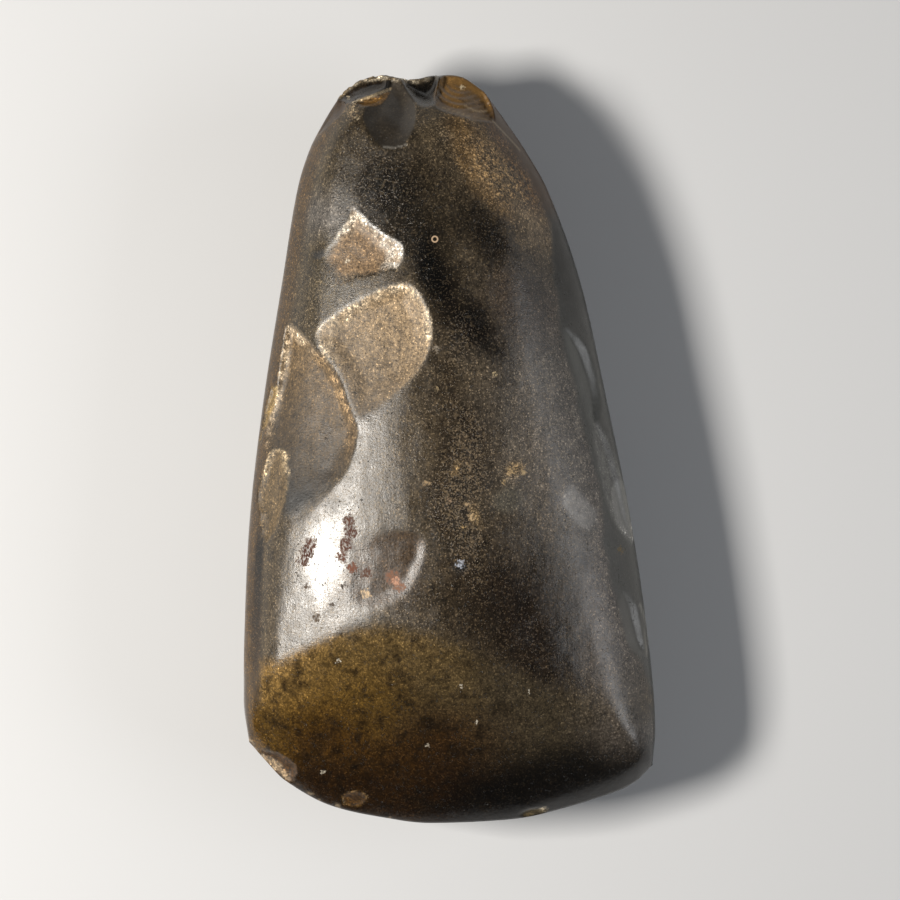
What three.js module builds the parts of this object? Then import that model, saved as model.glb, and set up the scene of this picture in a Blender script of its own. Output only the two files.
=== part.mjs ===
// A polished flint axe head: one stone, flaked to shape and then ground smooth, with the scars of the deeper
// flakes left in its faces, along its sides and round its narrow butt.
// Millimetres. +X runs across the blade, +Y from the cutting edge to the butt, and +Z is up. The stone lies on
// its back, on a small ground flat, and the origin is the middle of its plan, on that flat.
import * as THREE from "three";

const length = 120; // from the lowest point of the cutting edge to the top of the butt
const bladeWidth = 66; // across the widest line, a little above the blade's corners
const buttWidth = 23; // across the butt's two corners
const buttShift = -5.9; // the butt's middle lies this far to the right of the blade's
const edgeBow = 13; // the cutting edge's left corner stands this far above its lowest point
const buttBow = 3; // the butt's corners lie this far below its top
const upperCrown = 16.5; // from the plane of the cutting edge to the crown of the upper face
const backCrown = 16; // from the same plane to the crown of the back, before the flat is ground
const flatDepth = 1.5; // how much of the back's crown the ground flat takes off

const edgeHeight = backCrown - flatDepth;

// How each face is ground. The crest runs from the butt to the cutting edge along the middle of the face.
const crest = { along: 0.45, atButt: 0.44, atEdge: 0.68, buttFall: 2.2, edgeFall: 2 };
const arrisShare = 0.3; // height of the arris, where a face meets its side, as a share of the crown
const flankCurve = 1.85; // 1 would be a flat flank and 2 a round one
const softness = 1.1; // how far two ground faces blend into each other
const blade = { leftAngle: 19, rightAngle: 31, reach: 48, leftSoftness: 0.9, rightSoftness: 4 };
const lip = { height: 1.4, reach: 5 }; // the last grinding, which thickens the blade just behind its edge
const leftSide = { noseRadius: 3.4, slope: 1.1 };
const rightSide = { noseRadius: 2.8, slope: 0.85 };
const buttEnd = { noseRadius: 1.6, slope: 0.85 };

// The plan. A side is [share of the way from the blade's corner to the butt's, share of the taper to the butt].
const leftLine = [
  [0, 0.055], [0.065, 0], [0.157, 0.004], [0.342, 0.06], [0.528, 0.203],
  [0.713, 0.398], [0.852, 0.551], [0.914, 0.678], [0.956, 0.822], [1, 1],
];
const rightLine = [
  [0, 0.017], [0.052, 0], [0.186, 0.041], [0.364, 0.143], [0.543, 0.285],
  [0.721, 0.442], [0.854, 0.63], [0.914, 0.763], [0.954, 0.87], [1, 1],
];
// The cutting edge and the butt are [share of the way from left to right, share of the bow].
const edgeLine = [
  [0, 1], [0.04, 0.775], [0.088, 0.53], [0.2, 0.22], [0.37, 0.037], [0.45, 0],
  [0.63, 0.037], [0.72, 0.105], [0.9, 0.37], [0.96, 0.52], [1, 0.715],
];
const buttLine = [[0, 0], [0.11, 0.73], [0.3, 1], [0.5, 0.8], [0.66, 0.97], [0.84, 0.9], [1, 0.1]];

// Flake scars. An outline goes round its scar through a few places on the face, each given as how far across,
// from -1 at the left side to 1 at the right, and how far along from the cutting edge, as a share of the length.
// A taut outline has straight sides and sharp tips. The depth is a share of the thickness, and the wall, the
// width over which the floor is reached, one of the blade's width. The floor deepens towards the lean.
const upperScars = [
  { depth: 0.028, wall: 0.04, taut: 0.5, lean: 50, leaning: 0.6, outline: [
    [-0.53, 0.816], [-0.33, 0.782], [-0.18, 0.764], [-0.21, 0.739], [-0.6, 0.717], [-0.75, 0.75], [-0.6, 0.79],
  ] },
  { depth: 0.045, wall: 0.045, taut: 0.1, lean: 45, leaning: 0.3, outline: [
    [-0.72, 0.652], [-0.49, 0.693], [-0.16, 0.715], [-0.01, 0.668], [-0.07, 0.606], [-0.42, 0.531], [-0.57, 0.595],
  ] },
  { depth: 0.055, wall: 0.055, taut: 0.3, lean: 25, leaning: 0.5, outline: [
    [-0.91, 0.664], [-0.68, 0.626], [-0.55, 0.59], [-0.44, 0.524], [-0.5, 0.466], [-0.81, 0.388],
    [-0.95, 0.5], [-0.92, 0.603],
  ] },
  { depth: 0.04, wall: 0.025, taut: 0.2, lean: 0, leaning: 0.4, outline: [
    [-0.92, 0.494], [-0.83, 0.496], [-0.8, 0.457], [-0.83, 0.405], [-0.9, 0.376], [-0.96, 0.432],
  ] },
  { depth: 0.015, wall: 0.05, taut: 0, lean: -30, leaning: 0.8, outline: [
    [-0.49, 0.372], [-0.3, 0.398], [-0.1, 0.391], [-0.08, 0.357], [-0.2, 0.307], [-0.44, 0.291],
  ] },
  { depth: 0.045, wall: 0.03, taut: 0.2, lean: 20, leaning: 0.6, outline: [
    [0.8, 0.659], [0.93, 0.643], [0.97, 0.616], [0.98, 0.572], [0.88, 0.512], [0.84, 0.566],
  ] },
  { depth: 0.06, wall: 0.035, taut: 0.2, lean: 0, leaning: 0.6, outline: [
    [0.88, 0.542], [0.97, 0.512], [1.01, 0.432], [0.99, 0.372], [0.89, 0.405], [0.86, 0.472],
  ] },
  { depth: 0.045, wall: 0.03, taut: 0.2, lean: 0, leaning: 0.6, outline: [
    [0.88, 0.312], [0.97, 0.291], [0.99, 0.225], [0.9, 0.232], [0.86, 0.272],
  ] },
  { depth: 0.05, wall: 0.05, taut: 0.1, lean: 80, leaning: 0.3, outline: [
    [-0.36, 1], [-0.12, 0.986], [0.02, 0.959], [0, 0.929], [-0.12, 0.897], [-0.34, 0.897], [-0.56, 0.935],
    [-0.56, 0.967],
  ] },
  { depth: 0.07, wall: 0.035, taut: 0.3, lean: 70, leaning: 0.5, outline: [
    [0.42, 1], [0.65, 1.01], [0.93, 0.985], [0.97, 0.961], [0.86, 0.936], [0.6, 0.936], [0.28, 0.951],
    [0.26, 0.972],
  ] },
  { depth: 0.1, wall: 0.04, taut: 0, lean: 90, leaning: 0.5, outline: [
    [-0.14, 0.996], [0.12, 1.01], [0.36, 0.996], [0.32, 0.961], [0.1, 0.953], [-0.06, 0.97],
  ] },
  { depth: 0.07, wall: 0.04, taut: 0.2, lean: 110, leaning: 0.4, outline: [
    [-1, 0.965], [-0.9, 0.99], [-0.4, 1.01], [-0.3, 0.98], [-0.55, 0.968], [-0.8, 0.958],
  ] },
];
const backScars = [
  { depth: 0.05, wall: 0.06, taut: 0.1, lean: 140, leaning: 0.4, outline: [
    [-0.42, 0.76], [-0.2, 0.71], [-0.22, 0.63], [-0.5, 0.56], [-0.74, 0.62], [-0.68, 0.71],
  ] },
  { depth: 0.06, wall: 0.05, taut: 0.2, lean: 180, leaning: 0.5, outline: [
    [-0.86, 0.56], [-0.66, 0.5], [-0.6, 0.42], [-0.78, 0.36], [-0.97, 0.4], [-0.98, 0.5],
  ] },
  { depth: 0.04, wall: 0.04, taut: 0.1, lean: 0, leaning: 0.5, outline: [
    [0.76, 0.66], [0.95, 0.64], [0.97, 0.55], [0.82, 0.52], [0.68, 0.58],
  ] },
  { depth: 0.03, wall: 0.05, taut: 0, lean: 0, leaning: 0.5, outline: [
    [0.7, 0.32], [0.94, 0.3], [0.96, 0.22], [0.76, 0.2], [0.62, 0.26],
  ] },
  { depth: 0.07, wall: 0.05, taut: 0.2, lean: 90, leaning: 0.4, outline: [
    [-0.8, 0.985], [-0.2, 1.01], [-0.05, 0.95], [-0.3, 0.9], [-0.75, 0.91],
  ] },
  { depth: 0.07, wall: 0.05, taut: 0.1, lean: 80, leaning: 0.4, outline: [
    [0.05, 1.01], [0.75, 0.985], [0.8, 0.92], [0.4, 0.86], [0.1, 0.89],
  ] },
];
const leastHeight = 0.3; // a scar leaves at least this share of the height that it is cut in
const scarSteps = 5; // straight steps between two places of a scar's outline

const columns = 42; // quads across each face
const rows = 58; // quads along each face
const crowding = 0.6; // 0 spaces the rows evenly, and 1 crowds them at the outline, where the faces turn over

const { clamp, degToRad, lerp } = THREE.MathUtils;
const thickness = upperCrown + edgeHeight;
const lowestY = -length / 2;
const bowedEdge = (share) => lowestY + edgeBow * share;
const bowedButt = (share) => length / 2 - buttBow * (1 - share);
const leftEnds = { edge: bowedEdge(edgeLine.at(0)[1]), butt: bowedButt(buttLine.at(0)[1]) };
const rightEnds = { edge: bowedEdge(edgeLine.at(-1)[1]), butt: bowedButt(buttLine.at(-1)[1]) };

// A smooth curve through [position, value] stations: a cubic between each two, with the slope at a station
// taken from its neighbours, and level where the values turn. Past either end it keeps the value there.
function through(stations, position) {
  const last = stations.length - 1;
  const at = clamp(position, stations[0][0], stations[last][0]);
  let i = 0;
  while (i < last - 1 && at > stations[i + 1][0]) i += 1;
  const slopeAt = (k) => {
    const before = stations[Math.max(k - 1, 0)];
    const after = stations[Math.min(k + 1, last)];
    const turns = k > 0 && k < last && (stations[k][1] - before[1]) * (after[1] - stations[k][1]) <= 0;
    return turns ? 0 : (after[1] - before[1]) / (after[0] - before[0]);
  };
  const span = stations[i + 1][0] - stations[i][0];
  const t = (at - stations[i][0]) / span;
  const t2 = t * t;
  const t3 = t2 * t;
  return (
    (2 * t3 - 3 * t2 + 1) * stations[i][1] +
    (t3 - 2 * t2 + t) * span * slopeAt(i) +
    (3 * t2 - 2 * t3) * stations[i + 1][1] +
    (t3 - t2) * span * slopeAt(i + 1)
  );
}

// The sides' places across the plan, at a place along it.
const upSide = (ends, y) => (y - ends.edge) / (ends.butt - ends.edge);
const leftX = (y) => lerp(-bladeWidth / 2, buttShift - buttWidth / 2, through(leftLine, upSide(leftEnds, y)));
const rightX = (y) => lerp(bladeWidth / 2, buttShift + buttWidth / 2, through(rightLine, upSide(rightEnds, y)));

// The ends' places along the plan, at a share of the way from left to right.
const edgeAcross = (x) => (x - leftX(leftEnds.edge)) / (rightX(rightEnds.edge) - leftX(leftEnds.edge));
const buttAcross = (x) => (x - leftX(leftEnds.butt)) / (rightX(rightEnds.butt) - leftX(leftEnds.butt));
const edgeY = (across) => bowedEdge(through(edgeLine, across));
const topY = (across) => bowedButt(through(buttLine, across));

// A point of the plan from two shares, from left to right and from cutting edge to butt: the patch that the
// four lines of the outline span.
function planPoint(s, t) {
  const left = leftX(lerp(leftEnds.edge, leftEnds.butt, t));
  const right = rightX(lerp(rightEnds.edge, rightEnds.butt, t));
  return [lerp(left, right, s), lerp(edgeY(s), topY(s), t)];
}

// The lower of two heights, rounded off where they cross.
function softLower(a, b, blend) {
  const overlap = Math.max(blend - Math.abs(a - b), 0) / blend;
  return Math.min(a, b) - (overlap * overlap * blend) / 4;
}

// Height of a side at a distance in from the outline: a rounded nose that runs into a straight slope.
function sideHeight(side, inward) {
  const d = Math.max(inward, 0);
  return Math.sqrt(2 * side.noseRadius * d + (side.slope * d) ** 2);
}

// Height of the crest, from the butt's end to the cutting edge's.
function crestHeight(crown, along) {
  const up = (along - crest.along) / (1 - crest.along);
  const down = (crest.along - along) / crest.along;
  const fall = up > 0 ? (1 - crest.atButt) * up ** crest.buttFall : (1 - crest.atEdge) * down ** crest.edgeFall;
  return crown * (1 - fall);
}

// Height of the blade at a distance in from the cutting edge: steep at the edge, then levelling out.
function bladeHeight(crown, angle, inward) {
  const top = crown + 2 * blade.rightSoftness;
  const power = (Math.tan(degToRad(angle)) * blade.reach) / top;
  const lipHeight = lip.height * (1 - (1 - clamp(inward / lip.reach, 0, 1)) ** 2);
  return lipHeight + top * (1 - (1 - clamp(inward / blade.reach, 0, 1)) ** power);
}

// A scar's outline on the plan, as a closed line of short steps, with its middle and its mean radius.
function scarLine(scar) {
  const places = scar.outline.map(([across, along]) => {
    const y = lowestY + along * length;
    return new THREE.Vector2(lerp(leftX(y), rightX(y), (across + 1) / 2), y);
  });
  const count = places.length;
  const pull = (1 - scar.taut) / 2;
  const line = [];
  for (let k = 0; k < count * scarSteps; k += 1) {
    const [a, b, c, d] = [-1, 0, 1, 2].map((next) => places[(Math.floor(k / scarSteps) + next + count) % count]);
    const t = (k % scarSteps) / scarSteps;
    const leave = c.clone().sub(a).multiplyScalar(pull * (t ** 3 - 2 * t ** 2 + t));
    const arrive = d.clone().sub(b).multiplyScalar(pull * (t ** 3 - t ** 2));
    line.push(b.clone().lerp(c, 3 * t ** 2 - 2 * t ** 3).add(leave).add(arrive));
  }
  const middle = places.reduce((sum, place) => sum.add(place), new THREE.Vector2()).divideScalar(count);
  const radius = places.reduce((sum, place) => sum + place.distanceTo(middle), 0) / count;
  return { ...scar, line, middle, radius };
}

// How far a point of the plan lies inside a closed line, and 0 outside it.
function insideDistance(line, x, y) {
  let inside = false;
  let nearest = Infinity;
  line.forEach((a, k) => {
    const b = line[(k + 1) % line.length];
    if (a.y > y !== b.y > y && x < a.x + ((y - a.y) / (b.y - a.y)) * (b.x - a.x)) inside = !inside;
    const [ex, ey] = [b.x - a.x, b.y - a.y];
    const t = clamp(((x - a.x) * ex + (y - a.y) * ey) / (ex * ex + ey * ey), 0, 1);
    nearest = Math.min(nearest, Math.hypot(x - a.x - t * ex, y - a.y - t * ey));
  });
  return inside ? nearest : 0;
}

// How far a scar reaches down at a point of the plan: a wall that eases into a floor, which leans.
function scarDepth(scar, x, y) {
  const inward = insideDistance(scar.line, x, y);
  if (inward === 0) return 0;
  const turn = degToRad(scar.lean);
  const toward = ((x - scar.middle.x) * Math.cos(turn) + (y - scar.middle.y) * Math.sin(turn)) / scar.radius;
  const reached = 1 - (1 - Math.min(inward / (scar.wall * bladeWidth), 1)) ** 2;
  return scar.depth * thickness * reached * clamp(1 + scar.leaning * toward, 0, 2);
}

// Height of one face above or below the plane of the cutting edge, at a point of the plan.
function faceHeight(crown, scars, x, y) {
  const out = Math.abs(clamp((2 * (x - leftX(y))) / (rightX(y) - leftX(y)) - 1, -1, 1));
  const arris = arrisShare * crown;
  const flank = arris + (crestHeight(crown, (y - lowestY) / length) - arris) * (1 - out ** flankCurve);
  const rightward = THREE.MathUtils.smoothstep(edgeAcross(x), 0.15, 0.8);
  const angle = lerp(blade.leftAngle, blade.rightAngle, rightward);
  const bladeSoftness = lerp(blade.leftSoftness, blade.rightSoftness, rightward);
  let ground = softLower(flank, bladeHeight(crown, angle, y - edgeY(edgeAcross(x))), bladeSoftness);
  ground = softLower(ground, sideHeight(leftSide, x - leftX(y)), softness);
  ground = softLower(ground, sideHeight(rightSide, rightX(y) - x), softness);
  ground = Math.max(softLower(ground, sideHeight(buttEnd, topY(buttAcross(x)) - y), softness), 0);
  const cut = Math.max(...scars.map((scar) => scarDepth(scar, x, y)));
  return Math.max(ground - cut, leastHeight * ground);
}

// Even steps from 0 to 1, crowded towards both ends.
function crowded(i, count) {
  const even = i / count;
  return lerp(even, (1 - Math.cos(Math.PI * even)) / 2, crowding);
}

// Both faces share the vertices of the outline, so the solid closes on itself.
function axeGeometry() {
  const positions = [];
  const faces = [];
  const upper = [];
  const back = [];
  const upperCuts = upperScars.map(scarLine);
  const backCuts = backScars.map(scarLine);
  const put = (x, y, z) => positions.push(x, y, z) / 3 - 1;
  for (let j = 0; j <= rows; j += 1) {
    for (let i = 0; i <= columns; i += 1) {
      const [x, y] = planPoint(crowded(i, columns), crowded(j, rows));
      if (i === 0 || j === 0 || i === columns || j === rows) {
        const shared = put(x, y, edgeHeight);
        upper.push(shared);
        back.push(shared);
      } else {
        upper.push(put(x, y, edgeHeight + faceHeight(upperCrown, upperCuts, x, y)));
        back.push(put(x, y, Math.max(edgeHeight - faceHeight(backCrown, backCuts, x, y), 0)));
      }
    }
  }
  for (let j = 0; j < rows; j += 1) {
    for (let i = 0; i < columns; i += 1) {
      const a = j * (columns + 1) + i;
      const [b, c, d] = [a + 1, a + columns + 2, a + columns + 1];
      faces.push(upper[a], upper[b], upper[c], upper[a], upper[c], upper[d]);
      faces.push(back[a], back[c], back[b], back[a], back[d], back[c]);
    }
  }
  const geometry = new THREE.BufferGeometry();
  geometry.setAttribute("position", new THREE.Float32BufferAttribute(positions, 3));
  geometry.setIndex(faces);
  geometry.computeVertexNormals();
  return geometry;
}

const flint = new THREE.MeshStandardMaterial({ color: 0x51493c, roughness: 0.3, metalness: 0 });
const axeHead = new THREE.Mesh(axeGeometry(), flint);
axeHead.name = "axe_head";

const part = new THREE.Group();
part.add(axeHead);

export default part;
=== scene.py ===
# A ground and polished flint axe head, lying on its back and seen from straight above.
# Shape work is in millimetres from the middle of the plan, and turned into metres when a mesh is made.
import bpy
import math
import numpy as np
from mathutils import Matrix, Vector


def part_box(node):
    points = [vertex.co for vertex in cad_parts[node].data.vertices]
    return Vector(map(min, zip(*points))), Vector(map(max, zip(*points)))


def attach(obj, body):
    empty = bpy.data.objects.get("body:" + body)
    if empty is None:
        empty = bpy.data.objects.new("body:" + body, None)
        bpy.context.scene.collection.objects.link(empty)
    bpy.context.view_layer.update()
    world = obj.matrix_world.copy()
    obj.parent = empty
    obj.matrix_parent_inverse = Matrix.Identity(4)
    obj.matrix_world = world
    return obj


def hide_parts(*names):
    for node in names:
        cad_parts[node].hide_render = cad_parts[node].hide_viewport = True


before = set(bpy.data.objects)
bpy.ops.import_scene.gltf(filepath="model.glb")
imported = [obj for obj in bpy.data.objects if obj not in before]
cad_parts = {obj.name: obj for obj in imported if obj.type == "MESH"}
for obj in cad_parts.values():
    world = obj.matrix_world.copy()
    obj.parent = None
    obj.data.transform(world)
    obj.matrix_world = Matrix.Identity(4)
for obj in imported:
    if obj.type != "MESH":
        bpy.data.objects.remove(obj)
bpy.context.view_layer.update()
lowCorner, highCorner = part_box("axe_head")
mm = 0.001

# The stone's form. Its overall size comes from the frame. The rest are millimetres, degrees or shares.
stone = {
    "length": (highCorner.y - lowCorner.y) / mm,
    "bladeWidth": (highCorner.x - lowCorner.x) / mm,
    "thickness": (highCorner.z - lowCorner.z) / mm,
    "buttWidth": 23, "buttShift": -5.9,  # the butt's middle lies this far across from the blade's
    "edgeBow": 13, "buttBow": 3,
    "upperCrown": 16.5, "backCrown": 16,  # from the plane of the edge; the flat is ground off the back's
    "crestAlong": 0.45, "crestAtButt": 0.44, "crestAtEdge": 0.68, "buttFall": 2.2, "edgeFall": 2,
    "arrisShare": 0.3, "flankCurve": 1.85, "softness": 1.1,
    "bladeAngles": (19, 31), "bladeSoftness": (0.9, 4),  # at the left and at the right
    "bladeReach": 48, "lipHeight": 1.4, "lipReach": 5,
    "leftNose": 3.4, "leftSlope": 1.1, "rightNose": 2.8, "rightSlope": 0.85,
    "buttNose": 1.6, "buttSlope": 0.85,
    "leastHeight": 0.25,  # a scar leaves this share of the height that it is cut in
    "columns": 166, "rows": 298, "crowding": 0.35,
    "toneGain": 0.7,
}
edgePlane = stone["thickness"] - stone["upperCrown"]
lowestY = -stone["length"] / 2

# The plan: shares of a side's way and of its taper, and shares of an end's way and of its bow.
plan = {
    "left": [(0, 0.055), (0.065, 0), (0.157, 0.004), (0.342, 0.06), (0.528, 0.203),
             (0.713, 0.398), (0.852, 0.551), (0.914, 0.678), (0.956, 0.822), (1, 1)],
    "right": [(0, 0.017), (0.052, 0), (0.186, 0.041), (0.364, 0.143), (0.543, 0.285),
              (0.721, 0.442), (0.854, 0.63), (0.914, 0.763), (0.954, 0.87), (1, 1)],
    "edge": [(0, 1), (0.04, 0.775), (0.088, 0.53), (0.2, 0.22), (0.37, 0.037), (0.45, 0),
             (0.63, 0.037), (0.72, 0.105), (0.9, 0.37), (0.96, 0.52), (1, 0.715)],
    "butt": [(0, 0), (0.11, 0.73), (0.3, 1), (0.5, 0.8), (0.66, 0.97), (0.84, 0.9), (1, 0.1)],
}


def through(stations, position):
    # A cubic between each two stations, with slopes from the neighbours, level where the values turn.
    p = np.array(stations, float)
    slopes = np.gradient(p[:, 1])
    slopes[1:-1] = (p[2:, 1] - p[:-2, 1]) / (p[2:, 0] - p[:-2, 0])
    slopes[0] = (p[1, 1] - p[0, 1]) / (p[1, 0] - p[0, 0])
    slopes[-1] = (p[-1, 1] - p[-2, 1]) / (p[-1, 0] - p[-2, 0])
    turns = (p[1:-1, 1] - p[:-2, 1]) * (p[2:, 1] - p[1:-1, 1]) <= 0
    slopes[1:-1][turns] = 0
    at = np.clip(position, p[0, 0], p[-1, 0])
    i = np.clip(np.searchsorted(p[:, 0], at, side="right") - 1, 0, len(p) - 2)
    span = p[i + 1, 0] - p[i, 0]
    t = (at - p[i, 0]) / span
    rise = (2 * t**3 - 3 * t**2 + 1) * p[i, 1] + (3 * t**2 - 2 * t**3) * p[i + 1, 1]
    return rise + (t**3 - 2 * t**2 + t) * span * slopes[i] + (t**3 - t**2) * span * slopes[i + 1]


def bowedEdge(share):
    return lowestY + stone["edgeBow"] * share


def bowedButt(share):
    return stone["length"] / 2 - stone["buttBow"] * (1 - share)


def sideX(y, side, sign):
    # The side's taper from the blade's half width to the butt's corner, at a place along the stone.
    corner = 0 if sign < 0 else -1
    ends = (bowedEdge(plan["edge"][corner][1]), bowedButt(plan["butt"][corner][1]))
    taper = through(plan[side], (y - ends[0]) / (ends[1] - ends[0]))
    wide = sign * stone["bladeWidth"] / 2
    narrow = stone["buttShift"] + sign * stone["buttWidth"] / 2
    return wide + (narrow - wide) * taper, ends


def leftX(y):
    return sideX(y, "left", -1)[0]


def rightX(y):
    return sideX(y, "right", 1)[0]


leftEnds = sideX(0.0, "left", -1)[1]
rightEnds = sideX(0.0, "right", 1)[1]


def edgeY(x):
    # The cutting edge's place along the stone, at a place across it.
    left, right = leftX(leftEnds[0]), rightX(rightEnds[0])
    return bowedEdge(through(plan["edge"], (x - left) / (right - left)))


def topY(x):
    left, right = leftX(leftEnds[1]), rightX(rightEnds[1])
    return bowedButt(through(plan["butt"], (x - left) / (right - left)))


def planGrid(columns, rows, crowding):
    # Columns run between the sides and rows between the two ends; steps crowd a little at the outline.
    def steps(count):
        even = np.linspace(0, 1, count + 1)
        return even + crowding * ((1 - np.cos(math.pi * even)) / 2 - even)
    s, t = np.meshgrid(steps(columns), steps(rows))
    left = leftX(leftEnds[0] + (leftEnds[1] - leftEnds[0]) * t)
    right = rightX(rightEnds[0] + (rightEnds[1] - rightEnds[0]) * t)
    low = bowedEdge(through(plan["edge"], s))
    high = bowedButt(through(plan["butt"], s))
    return left + (right - left) * s, low + (high - low) * t


def cloud(x, y, size, seed, octaves=3):
    # Value noise from -1 to 1: random corners on a square net of the given size, eased between, in octaves.
    # Each octave has half the size and half the weight of the one before.
    netSide, netStart = 128, (40.3, 71.9)
    total, weight, weights = np.zeros_like(x), 1.0, 0.0
    for octave in range(octaves):
        net = np.random.default_rng(seed + octave).uniform(-1, 1, (netSide, netSide))
        u, v = x / size * 2**octave + netStart[0], y / size * 2**octave + netStart[1]
        i, j = np.floor(u).astype(int), np.floor(v).astype(int)
        a, b = u - i, v - j
        a, b = a * a * (3 - 2 * a), b * b * (3 - 2 * b)
        nextI, nextJ = (i + 1) % netSide, (j + 1) % netSide
        i, j = i % netSide, j % netSide
        total += weight * ((net[i, j] * (1 - a) + net[nextI, j] * a) * (1 - b)
                           + (net[i, nextJ] * (1 - a) + net[nextI, nextJ] * a) * b)
        weights += weight
        weight *= 0.5
    return total / weights


def smooth(low, high, value):
    # An eased step from 0 at the first value to 1 at the second, which may also be the lower one.
    t = np.clip((value - low) / (high - low), 0, 1)
    return t * t * (3 - 2 * t)


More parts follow.
